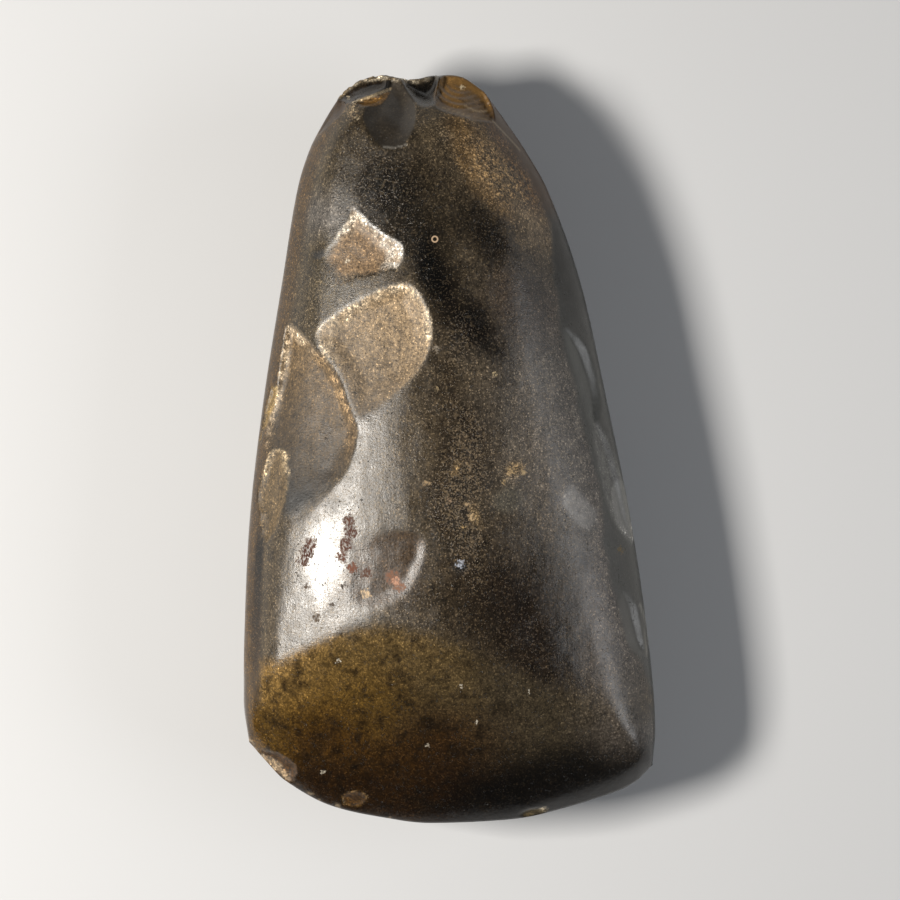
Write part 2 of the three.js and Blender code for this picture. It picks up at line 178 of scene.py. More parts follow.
# Flake scars, cut as in the solid. The outline's places are across from -1 to 1 and along as a share of the
# length, and a taut outline has straighter sides. Depth and wall are in millimetres: the wall is the way in
# over which the floor is reached, and the floor deepens by leaning towards the lean, a heading in degrees.
# ragged: how broken the rim is. worn: how far its edge is ground soft. feather: how much wider the wall is
# on the shallow side. tone: the scar's own colour. satin: how far it lacks polish. plain: how even it is.
# sheenAndUnevenness: how much lighter it is painted towards the lean, a painted sheen; the cut adds random
# unevenness of tone. rim: its colour along the stone's right side.
# crustsAndPaintedLight: colour, width in millimetres and heading of each strip along its border. Most are
# crumbled stone; some are painted highlights on rims that face the key light, and one is a painted shadow
# line.
# ripples: height, spacing and the place that the rings go round, in millimetres.
upperScars = {
    "chevron": dict(
        depth=0.85, wall=2.4, taut=0.7, lean=40, leaning=0.7, ragged=0.4, worn=0.1, feather=1.2,
        tone=(144, 118, 88), satin=0.9, sheenAndUnevenness=0.1,
        # The two pale crusts are painted highlights on the upper arms' walls, which face the key light, and
        # also crushed pale flint.
        crustsAndPaintedLight=[((236, 226, 208), 2.6, 112), ((250, 244, 232), 3.2, 12), ((44, 32, 18), 0.6, 275)],
        outline=[(-0.53, 0.816), (-0.33, 0.782), (-0.18, 0.764), (-0.21, 0.739), (-0.6, 0.717),
                 (-0.75, 0.75), (-0.6, 0.79)]),
    "leaf": dict(
        depth=1.15, wall=3.2, taut=0.1, lean=50, leaning=0.5, ragged=0.1, worn=0.6, feather=0.8,
        tone=(145, 124, 96), satin=0.9, sheenAndUnevenness=0.5,
        # The crust at heading 60 is a painted highlight on the upper right rim, which faces the key light.
        crustsAndPaintedLight=[((206, 188, 160), 1.8, 60), ((172, 156, 132), 3.4, 150)],
        outline=[(-0.72, 0.652), (-0.49, 0.693), (-0.16, 0.715), (-0.01, 0.668), (-0.07, 0.606),
                 (-0.42, 0.531), (-0.57, 0.595)]),
    "longScar": dict(
        depth=1.5, wall=2, taut=0.3, lean=55, leaning=0.6, ragged=0.25, worn=0.1, feather=1.5,
        tone=(90, 74, 52), satin=0.85, sheenAndUnevenness=1,
        # The crust at heading 150 is a painted highlight on the left rim, which faces the key light, and the
        # dark one at heading 42 is a painted shadow line under the hinge; the one at heading 22 is crumbled
        # orange stone.
        crustsAndPaintedLight=[((150, 124, 92), 2.8, 22), ((206, 186, 158), 1.8, 150), ((20, 14, 8), 0.5, 42)],
        outline=[(-0.91, 0.664), (-0.68, 0.626), (-0.55, 0.59), (-0.44, 0.524), (-0.5, 0.466),
                 (-0.81, 0.388), (-0.95, 0.5), (-0.92, 0.603)]),
    "sideNick": dict(
        depth=1.2, wall=1.2, taut=0.2, lean=0, leaning=0.4, ragged=0.4, worn=0.4, tone=(106, 89, 64),
        satin=1,
        crustsAndPaintedLight=[((206, 186, 150), 0.5, 20), ((176, 156, 124), 1.2, 100)],
        outline=[(-0.92, 0.494), (-0.83, 0.496), (-0.8, 0.457), (-0.83, 0.405), (-0.9, 0.376),
                 (-0.96, 0.432)]),
    "sideSliver": dict(
        depth=0.8, wall=0.7, taut=0.3, lean=0, leaning=0.3, ragged=0.4, worn=0.4, tone=(146, 122, 80),
        satin=0.8,
        crustsAndPaintedLight=[((226, 198, 140), 0.5, 10), ((40, 28, 14), 0.5, 190)],
        outline=[(-0.96, 0.582), (-0.91, 0.58), (-0.93, 0.55), (-0.99, 0.507), (-0.98, 0.55)]),
    "polishedHollow": dict(
        depth=0.32, wall=2.3, taut=0, lean=-24, leaning=0.65, ragged=0, worn=0.8, feather=1.1,
        tone=(74, 59, 43), satin=0.32,
        outline=[(-0.49, 0.372), (-0.3, 0.398), (-0.1, 0.391), (-0.08, 0.357), (-0.2, 0.307),
                 (-0.44, 0.291)]),
    "rightUpper": dict(
        depth=0.9, wall=2.4, taut=0.2, lean=20, leaning=0.6, ragged=0.1, worn=0.8, tone=(88, 88, 82),
        satin=0.4, plain=1, rim=(180, 176, 164),
        outline=[(0.8, 0.659), (0.93, 0.643), (0.97, 0.616), (0.98, 0.572), (0.88, 0.512), (0.84, 0.566)]),
    "rightMiddle": dict(
        depth=1.1, wall=2.2, taut=0.2, lean=0, leaning=0.6, ragged=0.05, worn=0.9, tone=(116, 114, 108),
        satin=0.7, plain=0.3, rim=(150, 148, 140),
        outline=[(0.88, 0.542), (0.97, 0.512), (1.01, 0.432), (0.99, 0.372), (0.89, 0.405), (0.86, 0.472)]),
    "rightRipples": dict(
        depth=0.45, wall=0.6, taut=0.1, lean=180, leaning=0.3, ragged=0.05, worn=0.4, tone=(142, 140, 135),
        satin=0.5, plain=1, sheenAndUnevenness=0,
        crustsAndPaintedLight=[((190, 188, 184), 0.5, 190), ((190, 188, 184), 0.5, 250)],
        ripples=(0.07, 1.3, 32, -5),
        outline=[(0.922, 0.447), (0.912, 0.426), (0.919, 0.405), (0.947, 0.391), (0.989, 0.377),
                 (1.0, 0.392), (1.016, 0.426), (1.01, 0.452), (0.972, 0.462)]),
    "rightLower": dict(
        depth=1.0, wall=2.2, taut=0.2, lean=0, leaning=0.6, ragged=0.1, worn=0.8, tone=(96, 94, 88),
        satin=0.4, plain=1, rim=(168, 162, 148),
        outline=[(0.88, 0.312), (0.97, 0.291), (0.99, 0.225), (0.9, 0.232), (0.86, 0.272)]),
    "tongue": dict(
        depth=1.5, wall=2.6, taut=0.1, lean=80, leaning=0.3, ragged=0.05, worn=0.4, tone=(62, 56, 48),
        satin=0.5, plain=0.7,
        outline=[(-0.36, 1), (-0.12, 0.986), (0.02, 0.959), (0, 0.929), (-0.12, 0.897), (-0.34, 0.897),
                 (-0.56, 0.935), (-0.56, 0.967)]),
    "buttTan": dict(
        depth=1.9, wall=1.3, taut=0.3, lean=70, leaning=0.4, ragged=0.05, worn=0.1, tone=(134, 102, 58),
        satin=0.5, plain=0.8,
        ripples=(0.14, 1.0, 1.9, 59.5),
        outline=[(0.42, 1), (0.65, 1.01), (0.93, 0.985), (0.97, 0.961), (0.86, 0.936), (0.6, 0.936),
                 (0.28, 0.951), (0.26, 0.972)]),
    "notch": dict(
        # Its near-black tone is painted shade in the deep hollow.
        depth=3, wall=2.6, taut=0, lean=90, leaning=0.5, ragged=0.1, worn=0.4, tone=(12, 10, 7), satin=0.05,
        outline=[(-0.14, 0.996), (0.12, 1.01), (0.36, 0.996), (0.32, 0.961), (0.1, 0.953), (-0.06, 0.97)]),
    "buttLeft": dict(
        depth=2.1, wall=2.3, taut=0.2, lean=110, leaning=0.4, ragged=0.2, worn=0.4, tone=(34, 26, 16),
        satin=0.3,
        outline=[(-1, 0.965), (-0.9, 0.99), (-0.4, 1.01), (-0.3, 0.98), (-0.55, 0.968), (-0.8, 0.958)]),
    "crescent": dict(
        depth=1.8, wall=1.2, taut=0, lean=100, leaning=0.3, ragged=0.05, worn=0.4, tone=(136, 102, 56),
        satin=0.6,
        outline=[(-0.7, 0.961), (-0.45, 0.972), (-0.31, 0.976), (-0.4, 0.957), (-0.58, 0.953)]),
    "buttFlank": dict(
        depth=1.0, wall=1.2, taut=0.2, lean=150, leaning=0.3, ragged=0.2, worn=0.4, tone=(62, 43, 14),
        satin=0.6, plain=0.6,
        outline=[(-1, 0.966), (-0.84, 0.96), (-0.82, 0.945), (-0.97, 0.92), (-1.03, 0.945)]),
    "cornerChip": dict(
        depth=1.6, wall=1.3, taut=0.3, lean=220, leaning=0.3, ragged=0.6, worn=0.4, tone=(92, 66, 38),
        satin=0.9,
        outline=[(-0.94, 0.098), (-0.86, 0.094), (-0.76, 0.08), (-0.78, 0.06), (-0.84, 0.05),
                 (-0.94, 0.08)]),
    "edgeOval": dict(
        depth=0.4, wall=0.9, taut=0, lean=90, leaning=0.1, ragged=0.05, worn=0.4, tone=(88, 62, 28),
        satin=0.6,
        crustsAndPaintedLight=[((120, 94, 56), 0.5, 0), ((120, 94, 56), 0.5, 120), ((120, 94, 56), 0.5, 240)],
        outline=[(-0.53, 0.04), (-0.45, 0.045), (-0.41, 0.033), (-0.46, 0.022), (-0.53, 0.026)]),
    "edgeNick": dict(
        depth=1.0, wall=0.7, taut=0.2, lean=-90, leaning=0.3, ragged=0.2, worn=0.4, tone=(92, 80, 56),
        satin=0.9,
        crustsAndPaintedLight=[((236, 222, 192), 0.6, 90), ((226, 210, 180), 0.5, 20)],
        outline=[(0.35, 0.014), (0.4, 0.02), (0.47, 0.02), (0.46, 0.01), (0.38, 0.0)]),
}
backScars = {
    "backLeaf": dict(
        depth=1.5, wall=3.9, taut=0.1, lean=140, leaning=0.4, ragged=0.2, worn=0.4, tone=(140, 118, 90),
        satin=0.8,
        outline=[(-0.42, 0.76), (-0.2, 0.71), (-0.22, 0.63), (-0.5, 0.56), (-0.74, 0.62), (-0.68, 0.71)]),
    "backLong": dict(
        depth=1.8, wall=3.3, taut=0.2, lean=180, leaning=0.5, ragged=0.3, worn=0.4, tone=(124, 104, 76),
        satin=0.8,
        outline=[(-0.86, 0.56), (-0.66, 0.5), (-0.6, 0.42), (-0.78, 0.36), (-0.97, 0.4), (-0.98, 0.5)]),
    "backRight": dict(
        depth=1.2, wall=2.6, taut=0.1, lean=0, leaning=0.5, ragged=0.2, worn=0.4, tone=(112, 108, 100),
        satin=0.5,
        outline=[(0.76, 0.66), (0.95, 0.64), (0.97, 0.55), (0.82, 0.52), (0.68, 0.58)]),
    "backLow": dict(
        depth=0.9, wall=3.3, taut=0, lean=0, leaning=0.5, ragged=0, worn=0.4, tone=(84, 72, 54), satin=0.1,
        outline=[(0.7, 0.32), (0.94, 0.3), (0.96, 0.22), (0.76, 0.2), (0.62, 0.26)]),
    "backButtLeft": dict(
        depth=2.2, wall=3.3, taut=0.2, lean=90, leaning=0.4, ragged=0.1, worn=0.4, tone=(100, 82, 54),
        satin=0.6,
        outline=[(-0.8, 0.985), (-0.2, 1.01), (-0.05, 0.95), (-0.3, 0.9), (-0.75, 0.91)]),
    "backButtRight": dict(
        depth=2.2, wall=3.3, taut=0.1, lean=80, leaning=0.4, ragged=0.1, worn=0.4, tone=(72, 64, 54),
        satin=0.5,
        outline=[(0.05, 1.01), (0.75, 0.985), (0.8, 0.92), (0.4, 0.86), (0.1, 0.89)]),
}


def scarLine(scar):
    # A closed cardinal curve through the outline's places; a taut one has straighter sides.
    along = np.array([place[1] for place in scar["outline"]])
    across = np.array([place[0] for place in scar["outline"]])
    y = lowestY + along * stone["length"]
    x = leftX(y) + (rightX(y) - leftX(y)) * (across + 1) / 2
    b = np.stack([x, y], 1)
    a, c, d = np.roll(b, 1, 0), np.roll(b, -1, 0), np.roll(b, -2, 0)
    t = np.arange(8)[:, None, None] / 8
    pull = (1 - scar["taut"]) / 2
    line = b + (c - b) * (3 * t**2 - 2 * t**3)
    line = line + pull * (c - a) * (t**3 - 2 * t**2 + t) + pull * (d - b) * (t**3 - t**2)
    return line.transpose(1, 0, 2).reshape(-1, 2), b.mean(0), np.hypot(*(b - b.mean(0)).T).mean()


def lineDistance(starts, ends, x, y):
    # The least distance from straight steps: along each to the nearest point, which stays between its ends.
    nearest = np.full(x.shape, 1e9)
    for (ax, ay), (bx, by) in zip(starts, ends):
        ex, ey = bx - ax, by - ay
        t = np.clip(((x - ax) * ex + (y - ay) * ey) / max(ex * ex + ey * ey, 1e-9), 0, 1)
        nearest = np.minimum(nearest, np.hypot(x - ax - t * ex, y - ay - t * ey))
    return nearest


def insideDistance(line, x, y):
    # Distance in from the closed line, negative outside it: a ray to the right crosses it an odd number of
    # times from inside.
    ends = np.roll(line, -1, 0)
    inside = np.zeros(x.shape, bool)
    for (ax, ay), (bx, by) in zip(line, ends):
        if ay != by:
            crosses = (ay > y) != (by > y)
            inside ^= crosses & (x < ax + (y - ay) / (by - ay) * (bx - ax))
    nearest = lineDistance(line, ends, x, y)
    return np.where(inside, nearest, -nearest)


def towardHeading(x, y, middle, radius, heading):
    # How far a place lies from the middle towards a heading in degrees, in radii.
    turn = math.radians(heading)
    return ((x - middle[0]) * math.cos(turn) + (y - middle[1]) * math.sin(turn)) / radius


noiseSeeds = {"rim": 50, "floor": 80, "tone": 30, "crustAndPaintedLight": 60}  # the scar's number is added to each


def scarCuts(scars, x, y):
    # The deepest scar at each place gives the cut; each scar's share of the surface gives its finish.
    cut = np.zeros_like(x)
    finishes = []
    for number, scar in enumerate(scars.values()):
        line, middle, radius = scarLine(scar)
        near = (np.abs(x - middle[0]) < 2.6 * radius) & (np.abs(y - middle[1]) < 2.6 * radius)
        px, py = x[near], y[near]
        inward = insideDistance(line, px, py)
        inward += scar["ragged"] * cloud(px, py, 1.3, noiseSeeds["rim"] + number) * 0.9
        toward = towardHeading(px, py, middle, radius, scar["lean"])
        wall = scar["wall"] * (1 + scar.get("feather", 0) * np.maximum(-toward, 0))
        rise = np.clip(inward / wall, 0, 1)
        reached = scar["worn"] * rise * rise * (3 - 2 * rise) + (1 - scar["worn"]) * (1 - (1 - rise) ** 2)
        depth = scar["depth"] * reached * np.clip(1 + scar["leaning"] * toward, 0, 2)
        if "ripples" in scar:
            height, spacing, fromX, fromY = scar["ripples"]
            ring = np.hypot(px - fromX, py - fromY)
            depth += height * reached * np.sin(2 * math.pi * ring / spacing + 0.6 * cloud(px, py, 3, 9))
        depth += 0.1 * scar["satin"] * reached * cloud(px, py, 1.8, noiseSeeds["floor"] + number)
        cut[near] = np.maximum(cut[near], depth)
        share = np.zeros_like(x)
        border = 0.35 + 1.6 * scar.get("feather", 0) * np.maximum(-toward, 0)
        share[near] = smooth(-0.15, border, inward) * smooth(0, 0.16, depth)
        # Painted sheen: the scar is painted lighter towards its lean and darker away from it; its tone also
        # wanders at random.
        sheenAndUnevenness = np.ones_like(x)
        unevenness = 0.12 * cloud(px, py, 2.5, noiseSeeds["tone"] + number)
        sheenAndUnevenness[near] = 1 + scar.get("sheenAndUnevenness", 0.15) * np.clip(toward, -1, 1) + unevenness
        crustsAndPaintedLight = []
        # Strips along the border: crumbled stone, painted highlights on rims that face the key light, and a
        # painted shadow line.
        for tone, width, heading in scar.get("crustsAndPaintedLight", []):
            beside = smooth(0.2, 0.75, towardHeading(px, py, middle, radius, heading))
            crustAndPaintedLight = np.zeros_like(x)
            strip = smooth(width, 0.1 * width, inward) * smooth(-0.2, 0.2, inward)
            broken = 0.25 + 0.9 * smooth(-0.3, 0.25, cloud(px, py, 0.8, noiseSeeds["crustAndPaintedLight"] + number, 2))
            crustAndPaintedLight[near] = strip * beside * broken
            crustsAndPaintedLight.append((tone, np.clip(crustAndPaintedLight, 0, 1)))
        finishes.append((scar, share, sheenAndUnevenness, crustsAndPaintedLight))
    return cut, finishes


def softLower(a, b, blend=stone["softness"]):
    # The lower of two heights, rounded off where they cross.
    overlap = np.maximum(blend - np.abs(a - b), 0) / blend
    return np.minimum(a, b) - overlap * overlap * blend / 4


def sideHeight(nose, slope, inward):
    # A rounded nose at the outline that runs into a straight slope.
    d = np.maximum(inward, 0)
    return np.sqrt(2 * nose * d + (slope * d) ** 2)


def groundHeight(crown, x, y):
    # A face before its scars: the curved flanks under the crest, cut by the blade, both sides and the butt.
    # Also gives how far each place lies from the line where the blade cuts the flank, above 0 on the blade.
    along = (y - lowestY) / stone["length"]
    out = np.abs(np.clip(2 * (x - leftX(y)) / (rightX(y) - leftX(y)) - 1, -1, 1))
    up = np.maximum(along - stone["crestAlong"], 0) / (1 - stone["crestAlong"])
    down = np.maximum(stone["crestAlong"] - along, 0) / stone["crestAlong"]
    fall = (1 - stone["crestAtButt"]) * up ** stone["buttFall"]
    fall = fall + (1 - stone["crestAtEdge"]) * down ** stone["edgeFall"]
    arris = stone["arrisShare"] * crown
    flank = arris + (crown * (1 - fall) - arris) * (1 - out ** stone["flankCurve"])
    left, right = leftX(leftEnds[0]), rightX(rightEnds[0])
    rightward = smooth(0.15, 0.8, (x - left) / (right - left))
    softness, angle = (a + (b - a) * rightward for a, b in (stone["bladeSoftness"], stone["bladeAngles"]))
    top = crown + 2 * stone["bladeSoftness"][1]
    power = np.tan(np.radians(angle)) * stone["bladeReach"] / top
    inward = y - edgeY(x)
    blade = top * (1 - (1 - np.clip(inward / stone["bladeReach"], 0, 1)) ** power)
    blade += stone["lipHeight"] * (1 - (1 - np.clip(inward / stone["lipReach"], 0, 1)) ** 2)
    ground = softLower(flank, blade, softness)
    ground = softLower(ground, sideHeight(stone["leftNose"], stone["leftSlope"], x - leftX(y)))
    ground = softLower(ground, sideHeight(stone["rightNose"], stone["rightSlope"], rightX(y) - x))
    ground = softLower(ground, sideHeight(stone["buttNose"], stone["buttSlope"], topY(x) - y))
    return np.maximum(ground, 0), (flank - blade) * (1 - 0.6 * rightward)


def faceHeight(crown, scars, x, y, seed):
    # The ground face less its scars, the unevenness of the grinding and the crumbs of the butt. It keeps its
    # least share everywhere, rounded off where that takes over.
    ground, facet = groundHeight(crown, x, y)
    cut, finishes = scarCuts(scars, x, y)
    grinding = 0.14 * cloud(x * 1.6, y * 0.55, 9, seed, 2) + 0.03 * cloud(x * 1.8, y * 0.7, 2.2, seed + 5, 2)
    crushed = smooth(3.0, 0.4, topY(x) - y) * smooth(6, -1, x + 6)
    crumbs = 0.75 * np.abs(cloud(x, y, 1.5, seed + 9, 2)) + 0.35 * cloud(x, y, 0.7, seed + 12, 1)
    grinding += crushed * crumbs
    height = ground - cut - grinding * smooth(0, 3, ground) - crushed * 0.1
    blend = np.minimum(0.9, 0.3 * ground + 0.01)
    return -softLower(-height, -stone["leastHeight"] * ground, blend), facet, finishes


# Patches of colour on the upper face: middle and radii in millimetres, heading in degrees, tone, share, and
# how wide the border is (1 fades from the middle out, 0.2 is a firm border).
upperPatches = [
    # The first patch is painted shade over the notch at the butt and the crests round it.
    (-2.5, 57.4, 4.5, 3, 0, (18, 15, 10), 0.9, 0.6), (-11.5, -21, 7, 6, 0, (84, 66, 47), 0.8, 0.9),
    (-19, 30, 9, 24, 0, (66, 58, 42), 0.85, 1), (13, 4, 15, 26, 4, (98, 90, 80), 0.85, 1),
    (20, 4, 9, 22, 8, (110, 103, 95), 0.6, 1), (25.5, -24, 6, 22, 2, (124, 115, 107), 0.85, 1),
    (12, -26, 15, 17, 0, (34, 26, 19), 0.95, 1), (12, 23, 7, 8, 0, (66, 55, 48), 0.6, 0.8),
    (8.3, 44, 14, 6, -51, (118, 95, 64), 0.9, 0.3), (-8.5, 40.5, 14, 9, -56, (20, 18, 15), 0.95, 0.9),
    (-2.2, 28, 12, 4.6, -72, (9, 8, 6), 1, 0.8), (4.2, 19, 9.5, 4.2, -50, (11, 9, 7), 0.95, 0.8),
    (5.2, 34.6, 10, 5, -52, (20, 16, 12), 0.85, 0.9), (13.6, 34.6, 5.5, 4.2, -51, (124, 106, 82), 0.9, 0.7),
    (1.5, -4, 6, 26, 4, (46, 38, 28), 0.85, 0.9), (-19.2, 37.6, 5, 5, 0, (112, 108, 104), 0.7, 0.9),
    (20.4, -9.2, 4.4, 2.0, -62, (176, 171, 165), 0.75, 0.35),
    (8.9, -8.1, 2.8, 2.5, 0, (92, 88, 76), 0.6, 0.5), (-20.5, 30.8, 1.3, 0.9, 20, (22, 18, 14), 0.9, 0.5),
    (-31, -30, 1.4, 13, 1, (48, 36, 22), 0.8, 0.7), (-13, 57, 9, 3, 0, (74, 62, 46), 0.5, 0.9),
    (-23.4, -2.5, 2.9, 5.5, -20, (78, 66, 50), 0.6, 1),
    (-28.1, -50.4, 2.0, 0.8, -38, (214, 186, 146), 0.6, 0.6),
    (-26.5, -52.2, 1.0, 0.6, -50, (220, 190, 150), 0.8, 0.6),
    (1.8, -18.6, 1.6, 1.2, 0, (12, 10, 8), 0.9, 0.8), (0.9, -3, 1.6, 0.7, 60, (118, 96, 62), 0.7, 0.6),
    (4.2, -10.5, 2.6, 1.0, 110, (112, 92, 60), 0.6, 0.8),
    (10.2, -3.2, 2.2, 1.1, 30, (122, 98, 60), 0.6, 0.6),
]
# Where light grains and dark specks crowd on the upper face: middle, radii, heading, share.
upperGrains = [
    (8.1, 43.6, 14.5, 6.5, -51, 1), (-15.4, 53.8, 2.4, 2.6, 0, 1), (-0.6, 49, 4, 3, 0, 0.7),
    (-10, 42, 12, 12, 0, 0.45), (16, 2, 13, 26, 6, 0.55), (26, -22, 7, 26, 4, 0.6), (2, -6, 6, 24, 4, 0.8),
    (10.2, -3.3, 3.4, 3, 0, 1), (2, 16, 5, 10, 0, 0.6), (-20, 24, 8, 12, 0, 0.5),
]
backPatches = [
    (14, 20, 14, 24, 0, (100, 93, 86), 0.8, 1), (-12, -10, 14, 26, 0, (72, 62, 50), 0.6, 1),
    (6, 34, 12, 6, 50, (40, 34, 28), 0.8, 0.9), (-10, 40, 10, 8, 0, (100, 82, 56), 0.7, 0.8),
    (12, -14, 10, 8, 30, (112, 104, 96), 0.6, 0.9), (-18, 12, 5, 9, 20, (46, 40, 32), 0.7, 0.9),
    (3, 4, 1.6, 1.0, 30, (190, 150, 100), 0.6, 0.5), (18, -4, 1.1, 0.8, 0, (180, 96, 66), 0.7, 0.5),
]
backGrains = [
    (-8, 30, 14, 14, 0, 0.7), (14, 10, 14, 24, 0, 0.5), (-14, -16, 9, 16, 0, 0.5),
]
# Middle, radii and heading of where the upper face is polished best, and of an even pale spot at the right.
polished = (-20, -17.5, 10, 4.6, 68)
paleSpot = (20.4, -9.2, 4.4, 2, -62)
# Thin worn crests between scars: places in millimetres, width, tone.
ridges = [
    ([(-15.3, 55.2), (-12.4, 56.2), (-9.5, 57.6)], 0.32, (214, 190, 150)),
    ([(-10.3, 47.7), (-8.7, 47.5), (-6.9, 47.9)], 0.2, (132, 128, 120)),
    ([(6.7, 52.5), (9.9, 49.2), (11.2, 47.8)], 0.18, (150, 130, 100)),
    ([(-1.3, 54.4), (3.3, 52.7), (5.9, 52.6)], 0.16, (176, 150, 110)),
    ([(-19.2, -8.3), (-17.5, -10.1), (-15.5, -12.3)], 0.3, (34, 24, 16)),
    ([(-14.8, -19.6), (-15.3, -21.6), (-16.1, -23.8)], 0.28, (44, 34, 24)),
    ([(25.2, 20.3), (26.4, 17.8), (27, 13.5)], 0.3, (150, 148, 140)),
    ([(30.4, -24.8), (31.3, -27), (32, -31)], 0.26, (146, 142, 132)),
    ([(2.4, 54.7), (4.2, 53.9), (6, 54)], 0.2, (190, 162, 120)),
    ([(1.4, 56), (3, 55), (5.6, 55.2)], 0.16, (86, 62, 34)),
]
# Small inclusions of the upper face: middle, radius, tone. The fossil is a ring, the rest are broken spots.
fossil = {"at": (-2.3, 32.9), "radius": 0.44, "width": 0.16, "tone": (214, 184, 152)}
inclusions = [
    (-16.1, 29.7, 0.4, (244, 230, 204)), (-13.2, -22.6, 0.8, (236, 206, 166)),
    (1.7, -17.9, 0.7, (190, 196, 210)), (-16.2, 56.3, 0.35, (226, 208, 176)),
    (-15.4, 54.1, 0.3, (206, 186, 150)), (-14.6, 52.4, 0.35, (200, 182, 150)),
    (-14.9, 55.3, 0.4, (16, 12, 8)), (-9.0, -20.0, 1.4, (140, 100, 78)), (-7.8, -21.5, 1.2, (150, 110, 88)),
    (-8.4, -20.6, 0.8, (216, 164, 136)), (-15.2, -18.6, 1.0, (124, 80, 62)),
    (-13.2, -19.4, 1.1, (100, 70, 56)), (2.0, 57.9, 0.45, (236, 216, 176)),
    (27.3, -16.1, 0.6, (140, 118, 80)), (-23.0, -17.6, 1.2, (84, 50, 36)),
    (-22.4, -16.2, 1.3, (78, 44, 30)), (-21.7, -14.8, 1.1, (92, 58, 44)), (-15.8, -11.2, 1.0, (96, 62, 48)),
    (-15.4, -13.0, 1.3, (88, 54, 42)), (-16.2, -15.0, 1.3, (92, 58, 46)),
    (-16.9, -16.8, 1.1, (104, 68, 54)), (-16.6, -21.4, 0.5, (70, 62, 54)),
    (-22.6, -21.6, 0.6, (86, 66, 50)), (-21.0, -26.4, 0.7, (92, 78, 64)), (-18.4, -24.6, 0.5, (80, 66, 54)),
    (-17.4, -33.4, 0.35, (226, 218, 200)), (2.0, -37.2, 0.35, (214, 206, 190)),
    (12.4, -38.2, 0.3, (200, 192, 176)), (11.7, -3.6, 0.55, (206, 180, 138)),
    (9.5, -3.2, 0.5, (196, 168, 122)), (8.4, -5.2, 0.4, (186, 160, 118)), (2.6, -8.6, 0.5, (190, 162, 124)),
    (3.4, -10.6, 0.6, (210, 180, 136)), (2.0, -12.2, 0.5, (196, 164, 112)),
    (-0.2, -8.0, 0.45, (160, 134, 108)), (-3.5, -5.3, 0.5, (174, 148, 112)),
    (-2.1, 15.6, 0.6, (150, 138, 122)), (7.0, 11.8, 0.35, (230, 206, 160)),
    (-2.0, 9.3, 0.4, (150, 130, 96)), (4.3, -43.2, 0.35, (206, 198, 182)),
    (-3.4, -46.8, 0.3, (200, 190, 170)), (-20.2, -51.4, 0.3, (210, 200, 180)),
]


def patchShare(patch, border, x, y):
    # A turned ellipse whose border is bent by noise, from 1 in its middle to 0 outside.
    cx, cy, rx, ry, heading = patch[:5]
    turn = math.radians(heading)
    bend = min(rx, ry) * 0.45
    dx = x - cx + bend * cloud(x, y, min(rx, ry) * 1.4 + 0.6, 21)
    dy = y - cy + bend * cloud(x, y, min(rx, ry) * 1.4 + 0.6, 33)
    p = (dx * math.cos(turn) + dy * math.sin(turn)) / rx
    q = (dy * math.cos(turn) - dx * math.sin(turn)) / ry
    return smooth(1 + 0.3 * border, 1 - border, np.hypot(p, q))


def linear(tone):
    # A colour as seen on a screen, from 0 to 255, turned into how much light the stone gives back.
    return stone["toneGain"] * (np.array(tone) / 255.0) ** 2.2


# The colours that the faces are painted with, as seen on a screen.
tones = {
    "body": (78, 68, 53), "blade": (70, 60, 42), "bladeLeft": (112, 85, 36), "amber": (178, 138, 74),
    "bladeRidge": (130, 108, 70), "bladeMiddle": (80, 71, 56), "bladeRight": (106, 98, 90),
    "lowLeft": (60, 38, 9), "edgeShade": (38, 24, 7), "shadow": (8, 6, 4), "stain": (34, 25, 12),
    "fleck": (26, 19, 9), "leftSide": (74, 54, 22), "leftSideLow": (106, 78, 30), "leftRim": (70, 50, 20),
    "darkLine": (10, 7, 3), "sideFacet": (82, 82, 77), "sideFacetHigh": (44, 40, 33), "shoulder": (84, 58, 28),
    "crushed": (96, 84, 64), "crumbs": (226, 212, 186), "edgeChips": (226, 202, 168), "salt": (176, 154, 122),
}
# Stations in millimetres: how far the painted shadow reaches in from the edge at a place across the
# blade, and how wide the right side's facet is at a place along the stone.
shadowReach = [(-8, 4), (5, 8), (18, 10.5), (25, 8.5), (31, 4)]
facetWidths = [(-39, 0.2), (-33, 2), (-25, 4.1), (-17, 5.2), (-6, 4.4), (5, 4.9), (19, 5.3), (27, 4), (36, 2)]
smallPatch = 3  # millimetres: patches up to this radius lie on top of the scars


